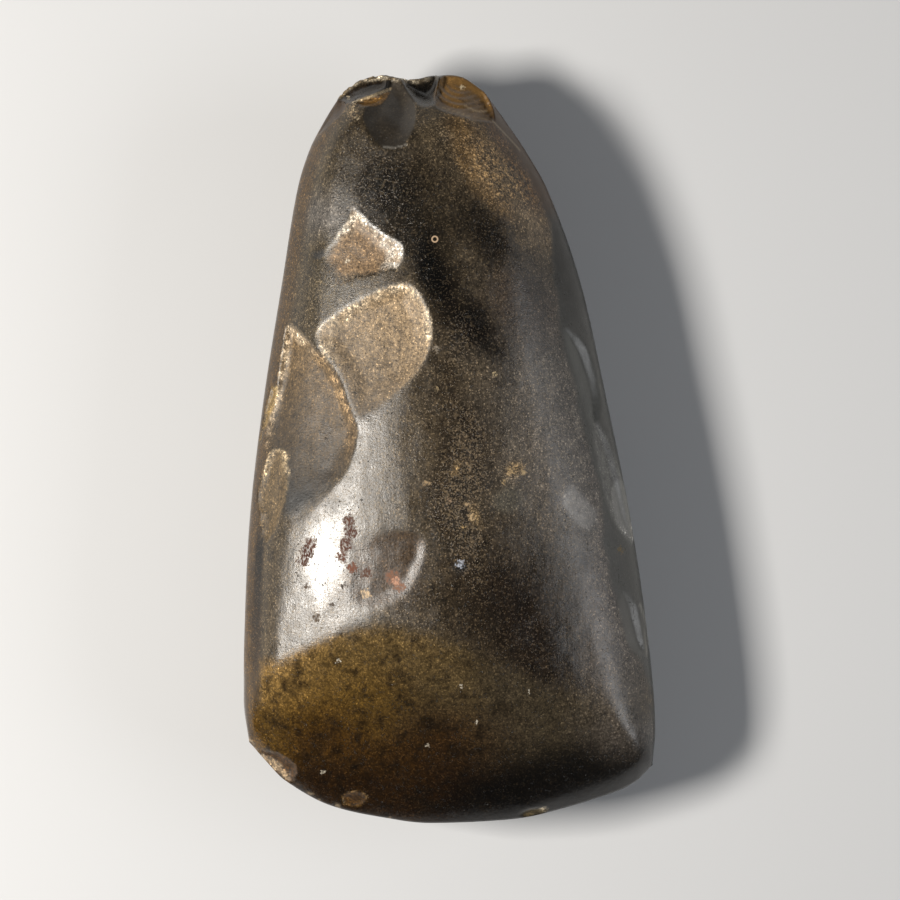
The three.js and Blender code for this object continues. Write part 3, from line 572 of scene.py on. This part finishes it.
def paintFace(x, y, facet, finishes, patches, grains, crests):
    # Tone, lack of polish, crowding of grains, share of the blade and evenness at each vertex of one face.
    # Each mix moves the tone towards a colour by its share, and the later ones lie on top. Places are in
    # millimetres, and a cloud beside one makes a border wander.
    tone = np.broadcast_to(linear(tones["body"]), x.shape + (3,)).copy()
    grain = np.full(x.shape, 0.3)
    satin = 0.38 + 0.12 * cloud(x, y, 6, 3)
    satin *= 1 - 0.9 * patchShare(polished, 0.8, x, y)

    def mix(share, color):
        nonlocal tone
        tone = tone + share[..., None] * (linear(color) - tone)

    for patch in patches:
        if patch[2] > smallPatch:
            mix(patch[6] * patchShare(patch, patch[7], x, y), patch[5])
    tone *= (1 + 0.3 * cloud(x, 0.6 * y, 2.4, 91) + 0.25 * cloud(x, 0.7 * y, 1.0, 95, 2))[..., None]

    # The blade: amber at the left, grey at the right, dark stains, and painted shade along the cutting edge
    # and at its steep right part.
    onBlade = smooth(-0.9, 0.4, facet + 0.25 * cloud(x, y, 3, 5))
    wander = 4 * cloud(x, y, 8, 6)
    mix(onBlade * 0.9, tones["blade"])
    mix(onBlade * smooth(2, -21, x + wander) * 0.9, tones["bladeLeft"])
    mix(onBlade * smooth(-13, -26, x + wander) * smooth(-44, -34, y) * 0.9, tones["amber"])
    mix(onBlade * smooth(3.6, 0.4, facet) * smooth(10, 0, x) * 0.5, tones["bladeRidge"])
    mix(onBlade * smooth(-2, 12, x) * 0.85, tones["bladeMiddle"])
    mix(onBlade * smooth(17, 27, x + 2 * cloud(x, y, 6, 18)) * 0.85, tones["bladeRight"])
    nearEdge = smooth(-38, -48, y + 3 * cloud(x, y, 9, 8))
    mix(onBlade * nearEdge * smooth(-32, -22, x) * smooth(16, -2, x) * 0.8, tones["lowLeft"])
    # Painted shade along the cutting edge, where the steep bevel faces away from the lights.
    mix(onBlade * smooth(-46, -54, y + 2 * cloud(x, y, 6, 38)) * 0.8, tones["edgeShade"])
    edgeGap = y - edgeY(x)
    # Painted shadow over the steep right part of the edge, which faces away from the lights.
    shadowed = smooth(4, -4, edgeGap - through(shadowReach, x) + 2 * cloud(x, y, 7, 28))
    mix(onBlade * shadowed * smooth(-8, 6, x) * 0.9, tones["shadow"])
    mix(onBlade * smooth(0.1, 0.5, cloud(x, y, 3.4, 14)) * smooth(24, 4, x) * 0.5, tones["stain"])
    mix(onBlade * smooth(0.2, 0.55, cloud(x, y, 1.3, 15, 2)) * smooth(24, 4, x) * 0.6, tones["fleck"])
    satin = satin * (1 - 0.75 * onBlade) * (0.25 + 0.75 * smooth(0, 0.035, tone.mean(-1)))

    # The left side: an olive strip with a dark line along it.
    fromLeft = x - leftX(y)
    mix(smooth(3.4, 1.4, fromLeft) * 0.85, tones["leftSide"])
    mix(smooth(3.2, 1.2, fromLeft) * smooth(-14, -36, y) * 0.8, tones["leftSideLow"])
    mix(smooth(1.2, 0.5, fromLeft) * 0.7, tones["leftRim"])
    darkLine = smooth(1.0, 0.4, np.abs(fromLeft - 2.1)) * smooth(-10, -16, y) * smooth(-36, -28, y)
    mix(darkLine * 0.95, tones["darkLine"])
    satin += darkLine * (1 - satin)

    # The right side: a smooth grey facet, darker towards the butt, and a brown strip at the shoulder.
    fromRight = rightX(y) - x
    facetWidth = through(facetWidths, y) + 0.5 * cloud(x, y, 3, 88)
    sideFacet = smooth(facetWidth + 0.5, facetWidth - 0.5, fromRight)
    mix(sideFacet * 0.85, tones["sideFacet"])
    mix(sideFacet * smooth(10, 34, y) * 0.85, tones["sideFacetHigh"])
    mix(smooth(5.5, 3.5, fromRight) * smooth(35, 41, y) * 0.85, tones["shoulder"])
    plain = np.maximum(0.9 * sideFacet, 0.35 * onBlade)
    plain = np.maximum(plain, 0.8 * patchShare(paleSpot, 0.4, x, y))
    for patch in grains:
        grain = np.maximum(grain, patch[5] * patchShare(patch, 0.9, x, y))
    grain = grain * (1 - 0.95 * sideFacet) * (1 - 0.6 * onBlade)
    satin += 0.35 * smooth(0.5, 0.9, grain)

    # The scars with their crusts, painted highlights and painted shadow lines. A polished one lets more of
    # the ground's colour through.
    for scar, share, sheenAndUnevenness, crustsAndPaintedLight in finishes:
        share = share * (0.94 if scar["satin"] > 0.2 else 0.6)
        # Each scar's tone carries its painted sheen, lighter towards its lean, and its random unevenness.
        tone += share[..., None] * (linear(scar["tone"]) * sheenAndUnevenness[..., None] - tone)
        satin = satin + share * (scar["satin"] - satin)
        grain = grain * (1 - 0.8 * share)
        plain = plain + share * (scar.get("plain", 0) - plain)
        for crustAndPaintedLightTone, crustAndPaintedLight in crustsAndPaintedLight:
            mix(crustAndPaintedLight, crustAndPaintedLightTone)
            grain = np.maximum(grain, np.minimum(1.5 * crustAndPaintedLight, 1))
            plain = plain * (1 - crustAndPaintedLight)

    # The crushed left half of the butt, and small chips along the cutting edge.
    buttGap = topY(x) - y
    crushed = smooth(1.4, 0.3, buttGap) * smooth(3, -3, x + 4)
    crumbs = smooth(1.1, 0.3, buttGap) * smooth(3, -3, x + 4)
    mix(crushed * 0.8, tones["crushed"])
    mix(crumbs * smooth(-0.1, 0.35, cloud(x, y, 0.7, 71, 2)), tones["crumbs"])
    chipped = smooth(-24, -26, x) + 0.5 * smooth(0, -10, x) * smooth(0.2, 0.5, cloud(x, y, 1.6, 73, 2))
    chips = smooth(1.1, 0.3, edgeGap) * smooth(0, 0.4, cloud(x, y, 0.9, 72, 2)) * chipped
    mix(np.clip(chips, 0, 1), tones["edgeChips"])
    for scar, share, sheenAndUnevenness, crustsAndPaintedLight in finishes:
        if "rim" in scar:
            mix(share * smooth(1.0, 0.2, fromRight), scar["rim"])
    grain = np.maximum(grain, crushed)
    satin = np.maximum(satin, crushed)
    plain = plain * (1 - crushed)
    for line, width, crestTone in crests:
        mix(smooth(width, 0.4 * width, lineDistance(line[:-1], line[1:], x, y)) * 0.85, crestTone)
    for patch in patches:
        if patch[2] <= smallPatch:
            share = patch[6] * patchShare(patch, patch[7], x, y)
            mix(share, patch[5])
            satin += 0.5 * share
    return tone, np.clip(satin, 0, 1), np.clip(grain, 0, 1), onBlade, plain


def buildStone():
    # Both faces are made on one net over the plan and share the vertices of its outline.
    x, y = planGrid(stone["columns"], stone["rows"], stone["crowding"])
    crumbled = smooth(2.5, 0.2, topY(x) - y) * smooth(3, -3, x + 5)  # the left half of the butt's outline
    y = y - crumbled * 0.55 * np.abs(cloud(x, y, 1.3, 44, 2))
    x = x + crumbled * 0.3 * cloud(x, y, 1.1, 47, 2)
    upperSeed, backSeed = 200, 300
    upper, upperFacet, upperFinishes = faceHeight(stone["upperCrown"], upperScars, x, y, upperSeed)
    back, backFacet, backFinishes = faceHeight(stone["backCrown"], backScars, x, y, backSeed)
    upperZ = edgePlane + upper
    backZ = np.maximum(edgePlane - back, 0)
    print("stone: faces worked out", x.shape)
    inner = np.zeros(x.shape, bool)
    inner[1:-1, 1:-1] = True
    count = x.size
    backIndex = np.arange(count).reshape(x.shape)
    backIndex[inner] = count + np.arange(inner.sum())  # the outline's vertices are shared
    upperIndex = np.arange(count).reshape(x.shape)
    upperZ[~inner] = edgePlane
    points = np.concatenate([
        np.stack([x.ravel(), y.ravel(), upperZ.ravel()], 1),
        np.stack([x[inner], y[inner], backZ[inner]], 1),
    ]) * mm

    def quads(index, order):
        corners = [index[:-1, :-1], index[:-1, 1:], index[1:, 1:], index[1:, :-1]]
        return np.stack([corners[k].ravel() for k in order], 1)

    faces = np.concatenate([quads(upperIndex, (0, 1, 2, 3)), quads(backIndex, (0, 3, 2, 1))])
    mesh = bpy.data.meshes.new("flintAxe")
    mesh.vertices.add(len(points))
    mesh.vertices.foreach_set("co", points.ravel())
    mesh.loops.add(faces.size)
    mesh.loops.foreach_set("vertex_index", faces.ravel())
    mesh.polygons.add(len(faces))
    mesh.polygons.foreach_set("loop_start", np.arange(0, faces.size, 4))
    mesh.polygons.foreach_set("use_smooth", np.ones(len(faces), bool))
    mesh.update(calc_edges=True)
    mesh.validate()
    upperPaint = paintFace(x, y, upperFacet, upperFinishes, upperPatches, upperGrains, ridges)
    backPaint = paintFace(x, y, backFacet, backFinishes, backPatches, backGrains, [])
    both = [np.concatenate([u.reshape(count, -1), b[inner].reshape(inner.sum(), -1)])
            for u, b in zip(upperPaint, backPaint)]
    tone = mesh.attributes.new("tone", "FLOAT_COLOR", "POINT")
    tone.data.foreach_set("color", np.concatenate([both[0], np.ones((len(points), 1))], 1).ravel())
    for name, values in zip(("satin", "grain", "bladeFacet", "plain"), both[1:]):
        mesh.attributes.new(name, "FLOAT", "POINT").data.foreach_set("value", values.ravel())
    piece = bpy.data.objects.new("flint_axe", mesh)
    bpy.context.scene.collection.objects.link(piece)
    print("stone: mesh made,", len(faces) * 2, "triangles")
    return piece


# The flint's finish. Sizes are in millimetres on the stone, and bump heights are in metres. A lift is how
# much lighter grains of one kind are than the ground: 1 doubles it, and less than 0 darkens it.
finish = {
    "polishedRoughness": 0.2, "satinRoughness": 0.58, "matteRoughness": 0.9, "roughnessWander": 0.3,
    "mottle": 1.4, "grainSize": 0.3, "sparkleSize": 0.28, "crumbSize": 0.55, "speckSize": 0.45,
    "streakSize": 0.4, "coarseSize": 0.8, "waveSize": 1.7, "bendSize": 0.6, "bend": 2.4,
    "grainLift": 0.95, "scaleLift": 0.27, "sparkleLift": 2.2, "streakLift": 0.3, "crumbLift": 0.5,
    "speckLift": -0.7, "crowdedLift": -0.5, "coarseLift": 2.6, "saltShare": 0.36, "plainShade": 0.9,
    "pitHeight": 0.00003, "scratchHeight": 0.000008, "satinHeight": 0.00007, "waveHeight": 0.00004,
    "refraction": 1.54,
}


def flintMaterial():
    material = bpy.data.materials.new("polishedFlint")
    material.use_nodes = True
    nodes, links = material.node_tree.nodes, material.node_tree.links
    nodes.clear()

    def node(kind, values=None, **inputs):
        # A new node. An input named i and a number is taken by its place, and any other by its name.
        made = nodes.new(kind)
        for key, value in (values or {}).items():
            setattr(made, key, value)
        for key, value in inputs.items():
            socket = made.inputs[int(key[1:])] if key[0] == "i" and key[1:].isdigit() else made.inputs[key]
            if isinstance(value, bpy.types.NodeSocket):
                links.new(value, socket)
            else:
                socket.default_value = value
        return made

    def attribute(name, output="Fac"):
        return node("ShaderNodeAttribute", {"attribute_name": name}).outputs[output]

    def noise(coordinates, size, detail=3, roughness=0.6, output=0):
        return node("ShaderNodeTexNoise", Vector=coordinates, Scale=1 / (size * mm),
                    Detail=detail, Roughness=roughness).outputs[output]

    def band(value, low, high):
        return node("ShaderNodeMapRange", {"interpolation_type": "SMOOTHSTEP"}, Value=value,
                    **{"From Min": low, "From Max": high}).outputs[0]

    def calc(operation, a, b):
        return node("ShaderNodeMath", {"operation": operation}, i0=a, i1=b).outputs[0]

    def multiply(a, b):
        return calc("MULTIPLY", a, b)

    def add(a, b):
        return calc("ADD", a, b)

    def vectorCalc(operation, output, **inputs):
        return node("ShaderNodeVectorMath", {"operation": operation}, **inputs).outputs[output]

    def mixValue(share, a, b):
        return node("ShaderNodeMix", {"data_type": "FLOAT"}, i0=share, i2=a, i3=b).outputs[0]

    def mixColor(share, a, b, blend="MIX"):
        values = {"data_type": "RGBA", "blend_type": blend}
        return node("ShaderNodeMix", values, i0=share, i6=a, i7=b).outputs[2]

    def lifted(value, lift, share):
        # The value times 1 where the share is 0, and times 1 plus the lift where it is 1.
        return multiply(value, add(multiply(share, lift), 1))

    where = node("ShaderNodeTexCoord").outputs["Object"]

    def laid(turn=0, stretch=(1, 1, 1), offset=(0, 0, 0)):
        return node("ShaderNodeMapping", Vector=where, Location=offset, Rotation=(0, 0, turn),
                    Scale=stretch).outputs[0]

    lengthwise = laid(0.08, (1, 0.16, 1))
    slanting = laid(0.9, (1, 0.05, 1))
    drawnOut = laid(0, (1, 0.6, 1))
    across = laid(0.15, (0.45, 1.3, 1))
    aside = laid(offset=(0.31, 0.17, 0.05))
    satin, grain, onBlade = attribute("satin"), attribute("grain"), attribute("bladeFacet")
    plain, color = attribute("plain"), attribute("tone", "Color")

    # The shade: mottling and grains of several sizes, each kind with its lift, round an even middle. The fine
    # grains, the sparkles and the salt laid on them are pale grains of the flint and also painted glints on
    # the satin.
    shade = node("ShaderNodeMapRange", Value=noise(where, finish["mottle"], 5, 0.7),
                 **{"From Min": 0.3, "From Max": 0.7, "To Min": 0.5, "To Max": 1.5}).outputs[0]
    grains = noise(drawnOut, finish["grainSize"], 3, 0.65)
    scales = noise(across, finish["grainSize"], 3, 0.65)
    shade = lifted(multiply(shade, 0.68), finish["grainLift"], band(grains, 0.4, 0.6))
    shade = lifted(multiply(shade, 0.88), finish["scaleLift"], multiply(band(scales, 0.42, 0.58), satin))
    sparkles = add(noise(aside, finish["sparkleSize"], 2, 0.5), multiply(grain, 0.1))
    shade = lifted(shade, finish["sparkleLift"], band(sparkles, 0.63, 0.7))
    streaks = noise(lengthwise, finish["streakSize"], 2, 0.6)
    shade = lifted(multiply(shade, 0.9), finish["streakLift"], band(streaks, 0.45, 0.6))
    crumbs = add(noise(aside, finish["crumbSize"], 2, 0.5), multiply(grain, 0.14))
    crumbled = band(crumbs, 0.64, 0.72)
    shade = lifted(shade, finish["crumbLift"], crumbled)
    specks = noise(where, finish["speckSize"], 4, 0.75)
    shade = lifted(shade, finish["speckLift"], band(add(specks, multiply(onBlade, 0.08)), 0.55, 0.64))
    crowded = band(grain, 0.65, 0.95)
    coarse = band(noise(aside, finish["coarseSize"], 3, 0.6), 0.49, 0.57)
    shade = lifted(shade, finish["crowdedLift"], crowded)
    shade = lifted(shade, finish["coarseLift"], multiply(crowded, coarse))
    evenness = multiply(plain, 0.85)
    shade = mixValue(evenness, shade, finish["plainShade"])
    grey = node("ShaderNodeCombineColor", i0=shade, i1=shade, i2=shade).outputs[0]
    color = mixColor(1.0, color, grey, "MULTIPLY")
    salt = multiply(calc("MAXIMUM", band(sparkles, 0.6, 0.7), multiply(crumbled, 0.8)), grain)
    color = mixColor(multiply(salt, finish["saltShare"]), color, (*linear(tones["salt"]), 1))

    # Inclusions lie at a distance from their middles in the plan, on the side above the edge's plane. Noise
    # bends the place that the distance is taken from, by half the bend to each side.
    bend = finish["bend"]
    bent = noise(where, finish["bendSize"], 3, 0.7, "Color")
    bent = vectorCalc("MULTIPLY_ADD", 0, i0=bent, i1=(bend * mm,) * 3, i2=where)
    height = node("ShaderNodeSeparateXYZ", Vector=where).outputs[2]
    upperSide = calc("GREATER_THAN", height, edgePlane * mm)
    broken = calc("MAXIMUM", band(grains, 0.4, 0.54), 0.25)

    def distanceTo(coordinates, px, py, shift):
        flat = vectorCalc("MULTIPLY", 0, i0=coordinates, i1=(1, 1, 0))
        return vectorCalc("DISTANCE", "Value", i0=flat, i1=((px + shift) * mm, (py + shift) * mm, 0))

    matte = None
    for px, py, radius, tone in inclusions:
        share = band(distanceTo(bent, px, py, bend / 2), radius * mm, 0.6 * radius * mm)
        share = multiply(multiply(share, upperSide), broken)
        matte = share if matte is None else calc("MAXIMUM", matte, share)
        color = mixColor(share, color, (*linear(tone), 1))
    ring = calc("SUBTRACT", distanceTo(where, *fossil["at"], 0), fossil["radius"] * mm)
    share = band(calc("ABSOLUTE", ring, 0), fossil["width"] * mm, 0.4 * fossil["width"] * mm)
    color = mixColor(multiply(share, upperSide), color, (*linear(fossil["tone"]), 1))

    roughness = mixValue(satin, finish["polishedRoughness"], finish["satinRoughness"])
    uneven = calc("SUBTRACT", add(noise(where, 2.4, 4, 0.6), grains), 1)
    roughness = add(roughness, multiply(uneven, finish["roughnessWander"]))
    roughness = mixValue(matte, roughness, finish["matteRoughness"])

    def bump(bumps, height, before=None):
        made = node("ShaderNodeBump", Height=bumps, Distance=height)
        if before:
            links.new(before, made.inputs["Normal"])
        return made.outputs[0]

    # Pits and sparkles go in, and scratches, waves and the satin of the scars lie over them.
    pits = multiply(band(specks, 0.6, 0.7), band(noise(where, 2.5, 2, 0.5), 0.4, 0.6))
    pits = add(pits, multiply(band(sparkles, 0.62, 0.7), grain))
    normal = bump(multiply(pits, -1), finish["pitHeight"])
    scratches = add(noise(lengthwise, 0.35, 3, 0.7), noise(slanting, 0.25, 2, 0.6))
    normal = bump(scratches, finish["scratchHeight"], normal)
    normal = bump(noise(where, finish["waveSize"], 4, 0.6), finish["waveHeight"], normal)
    unpolished = multiply(satin, calc("SUBTRACT", 1, evenness))
    fine = multiply(add(scales, noise(where, 0.3, 3, 0.7)), unpolished)
    normal = bump(fine, finish["satinHeight"], normal)
    shader = node("ShaderNodeBsdfPrincipled", Roughness=roughness, Normal=normal, IOR=finish["refraction"],
                  **{"Base Color": color})
    links.new(shader.outputs[0], node("ShaderNodeOutputMaterial").inputs["Surface"])
    return material


# The camera looks straight down, so that the plane of the cutting edge fills the photograph's frame as it
# does there.
view = {"imagePixels": 900, "pixelsPerMm": 6.233, "lens": 150, "sensor": 36, "shiftX": 0.08, "shiftY": -0.16}


def placeCamera():
    data = bpy.data.cameras.new("camera")
    data.lens = view["lens"]
    data.sensor_width = view["sensor"]
    camera = bpy.data.objects.new("camera", data)
    above = view["imagePixels"] * view["lens"] / (view["sensor"] * view["pixelsPerMm"])
    camera.location = (view["shiftX"] * mm, view["shiftY"] * mm, (edgePlane + above) * mm)
    bpy.context.scene.collection.objects.link(camera)
    bpy.context.scene.camera = camera


# Soft boxes: heading from +X and height above the floor in degrees, distance and size in metres, power in
# watts. The room adds a little even light.
lights = {
    "key": dict(heading=184, height=44, distance=0.55, size=(0.09, 0.17), power=4.6, color=(1, 0.945, 0.87)),
    "fill": dict(heading=-5, height=25, distance=0.7, size=(0.3, 0.5), power=1.9, color=(0.97, 0.98, 1)),
}

roomLight = 0.07


def placeLights():
    for name, light in lights.items():
        data = bpy.data.lights.new(name, "AREA")
        data.shape = "RECTANGLE"
        data.size, data.size_y = light["size"]
        data.energy = light["power"]
        data.color = light["color"]
        heading, height = math.radians(light["heading"]), math.radians(light["height"])
        lamp = bpy.data.objects.new(name, data)
        lamp.location = (light["distance"] * math.cos(heading) * math.cos(height),
                         light["distance"] * math.sin(heading) * math.cos(height),
                         light["distance"] * math.sin(height) + edgePlane * mm)
        lamp.rotation_euler = (0, math.pi / 2 - height, heading)
        bpy.context.scene.collection.objects.link(lamp)
    world = bpy.data.worlds.new("room")
    world.use_nodes = True
    world.node_tree.nodes["Background"].inputs["Color"].default_value = (1, 1, 1, 1)
    world.node_tree.nodes["Background"].inputs["Strength"].default_value = roomLight
    bpy.context.scene.world = world


# The floor is a sheet of pale paper that reaches well past the picture.
sheet = {"half": 3.0, "color": (0.6, 0.615, 0.635, 1), "roughness": 0.9}


def placeFloor():
    corners = [(x * sheet["half"], y * sheet["half"], 0) for x, y in ((-1, -1), (1, -1), (1, 1), (-1, 1))]
    mesh = bpy.data.meshes.new("floor")
    mesh.from_pydata(corners, [], [(0, 1, 2, 3)])
    floor = bpy.data.objects.new("floor", mesh)
    bpy.context.scene.collection.objects.link(floor)
    paper = bpy.data.materials.new("palePaper")
    paper.use_nodes = True
    shader = paper.node_tree.nodes["Principled BSDF"]
    shader.inputs["Base Color"].default_value = sheet["color"]
    shader.inputs["Roughness"].default_value = sheet["roughness"]
    mesh.materials.append(paper)


placeCamera()
axe = buildStone()
axe.data.materials.append(flintMaterial())
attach(axe, "root")
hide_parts("axe_head")
placeFloor()
placeLights()
bpy.context.scene.view_settings.view_transform = "Standard"
print("scene: camera, floor and lights placed")
